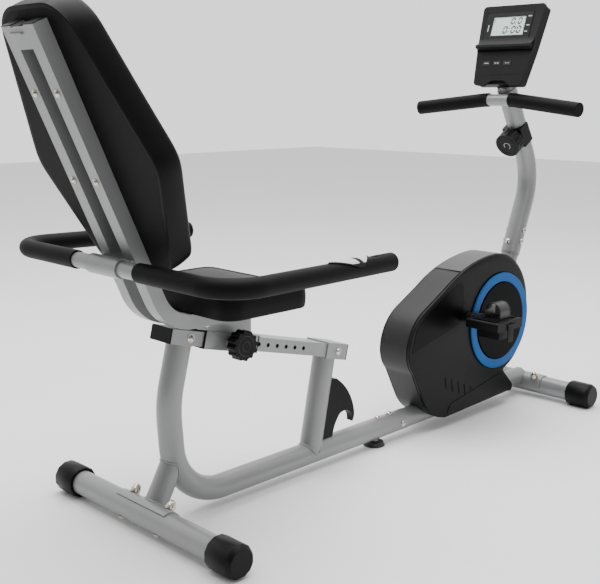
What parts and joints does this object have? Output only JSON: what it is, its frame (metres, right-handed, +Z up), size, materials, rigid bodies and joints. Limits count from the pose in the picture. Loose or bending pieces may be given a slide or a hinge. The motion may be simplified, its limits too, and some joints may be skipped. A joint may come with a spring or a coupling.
{
  "type": "recumbent exercise bike",
  "caption": "Recumbent exercise bike: padded seat and tall back on a sliding rail, armrest loop, enclosed magnetic drive with pedals, and a console over a short handlebar.",
  "frame": {"origin": "on the floor, under the middle of the bike's overall box", "axes": "+X forward towards the console, +Y to the rider's left, +Z up"},
  "size_m": [1.4777, 0.6702, 1.0067],
  "materials": {
    "frame_paint": "satin silver-grey powder coat",
    "black_plastic": "fine moulded texture, black",
    "console_plastic": "dark grey moulded face",
    "key_plastic": "soft grey keys",
    "display": "pale liquid crystal display under a clear lens",
    "ring_blue": "bright blue trim",
    "strap_grey": "light grey satin strap",
    "foam": "closed-cell foam, black",
    "leather_black": "fine-grained black vinyl leather",
    "plywood": "plain plywood",
    "bright_steel": "bright plated fasteners",
    "machined_steel": "machined steel",
    "cast_iron": "turned cast iron",
    "belt_rubber": "ribbed belt",
    "foot_rubber": "hard rubber foot"
  },
  "bodies": {
    "frame": {"rear_main_tube": "frame_paint", "front_main_tube": "frame_paint", "support_post": "frame_paint", "rear_link_tube": "frame_paint", "stabilizer_saddles": "frame_paint", "rear_stabilizer": "frame_paint", "front_stabilizer": "frame_paint", "stabilizer_caps": "black_plastic", "stabilizer_bolts": "bright_steel", "frame_bolts": "bright_steel", "seat_rail": "frame_paint", "rail_end_plugs": "black_plastic", "accessory_hook": "black_plastic", "crank_post_stub": "frame_paint", "handlebar_post": "frame_paint", "handlebar_tube": "frame_paint", "handlebar_grips": "foam", "dial_bracket": "black_plastic", "console_back": "black_plastic", "console_front": "console_plastic", "display_module": "display", "console_bracket": "frame_paint", "housing_left": "black_plastic", "housing_right": "black_plastic", "trim_rings": "ring_blue", "housing_screws": "bright_steel", "crank_bearings": "machined_steel", "drive_axles": "machined_steel", "drive_belt": "belt_rubber"},
    "seat": {"seat_slider": "frame_paint", "slider_bushes": "black_plastic", "seat_bracket": "frame_paint", "back_frame": "frame_paint", "back_frame_plugs": "black_plastic", "armrest_socket": "frame_paint", "armrest_tube": "frame_paint", "armrest_grips": "foam", "pulse_sensors": "bright_steel", "seat_cushion": "leather_black", "back_cushion": "leather_black", "cushion_boards": "plywood", "cushion_bolts": "bright_steel"},
    "knob_barrel": {"pin_barrel": "bright_steel"},
    "knob": {"seat_knob": "black_plastic"},
    "crank": {"crank_axle": "machined_steel", "crank_arm_right": "machined_steel", "crank_arm_left": "machined_steel", "crank_discs": "black_plastic", "drive_pulley": "black_plastic"},
    "pedal_right": {"pedal_body_right": "black_plastic", "pedal_strap_right": "strap_grey"},
    "pedal_left": {"pedal_body_left": "black_plastic", "pedal_strap_left": "strap_grey"},
    "flywheel": {"flywheel": "cast_iron"},
    "magnet_arm": {"magnet_bracket": "machined_steel"},
    "dial": {"resistance_dial": "black_plastic"},
    "key_left": {"console_key_left": "key_plastic"},
    "key_middle": {"console_key_middle": "key_plastic"},
    "key_right": {"console_key_right": "key_plastic"},
    "foot": {"levelling_foot": "foot_rubber"}
  },
  "joints": [
    {"name": "seat_slide", "type": "slide", "parent": "frame", "child": "seat", "axis": [0.9703, 0, -0.2419], "range_m": [0, 0.1515]},
    {"name": "seat_knob_turn", "type": "hinge", "parent": "seat", "child": "knob_barrel", "pos_m": [-0.34444, -0.04, 0.33156], "axis": [0, 1, 0], "range_deg": [0, 360]},
    {"name": "seat_pin_pull", "type": "slide", "parent": "knob_barrel", "child": "knob", "axis": [0, 1, 0], "range_m": [0, 0.0046]},
    {"name": "crank_spin", "type": "hinge", "parent": "frame", "child": "crank", "pos_m": [0.52805, 0, 0.2338], "axis": [0, 1, 0], "continuous": true},
    {"name": "pedal_right_spin", "type": "hinge", "parent": "crank", "child": "pedal_right", "pos_m": [0.38844, -0.126, 0.26475], "axis": [0, 1, 0], "continuous": true},
    {"name": "pedal_left_spin", "type": "hinge", "parent": "crank", "child": "pedal_left", "pos_m": [0.66766, 0.126, 0.20285], "axis": [0, 1, 0], "continuous": true},
    {"name": "flywheel_spin", "type": "hinge", "parent": "frame", "child": "flywheel", "pos_m": [0.27455, 0, 0.176], "axis": [0, 1, 0], "continuous": true},
    {"name": "dial_turn", "type": "hinge", "parent": "frame", "child": "dial", "pos_m": [0.65555, 0, 0.7005], "axis": [-0.8379, 0, -0.5459], "range_deg": [0, 300]},
    {"name": "magnet_swing", "type": "hinge", "parent": "frame", "child": "magnet_arm", "pos_m": [0.35255, 0, 0.226], "axis": [0, 1, 0], "range_deg": [-2, 0]},
    {"name": "foot_adjust", "type": "slide", "parent": "frame", "child": "foot", "axis": [0, 0, 1], "range_m": [-0.008, 0.001]},
    {"name": "key_left_press", "type": "slide", "parent": "frame", "child": "key_left", "axis": [0.9455, 0, -0.3256], "range_m": [0, 0.0011], "stiffness_N_per_m": 250, "springref_m": -0.0005},
    {"name": "key_middle_press", "type": "slide", "parent": "frame", "child": "key_middle", "axis": [0.9455, 0, -0.3256], "range_m": [0, 0.0011], "stiffness_N_per_m": 250, "springref_m": -0.0005},
    {"name": "key_right_press", "type": "slide", "parent": "frame", "child": "key_right", "axis": [0.9455, 0, -0.3256], "range_m": [0, 0.0011], "stiffness_N_per_m": 250, "springref_m": -0.0005}
  ],
  "couplings": [
    {"joint": "flywheel_spin", "follows": "crank_spin", "ratio": 6.2857},
    {"joint": "magnet_swing", "follows": "dial_turn", "ratio": -0.0066}
  ]
}
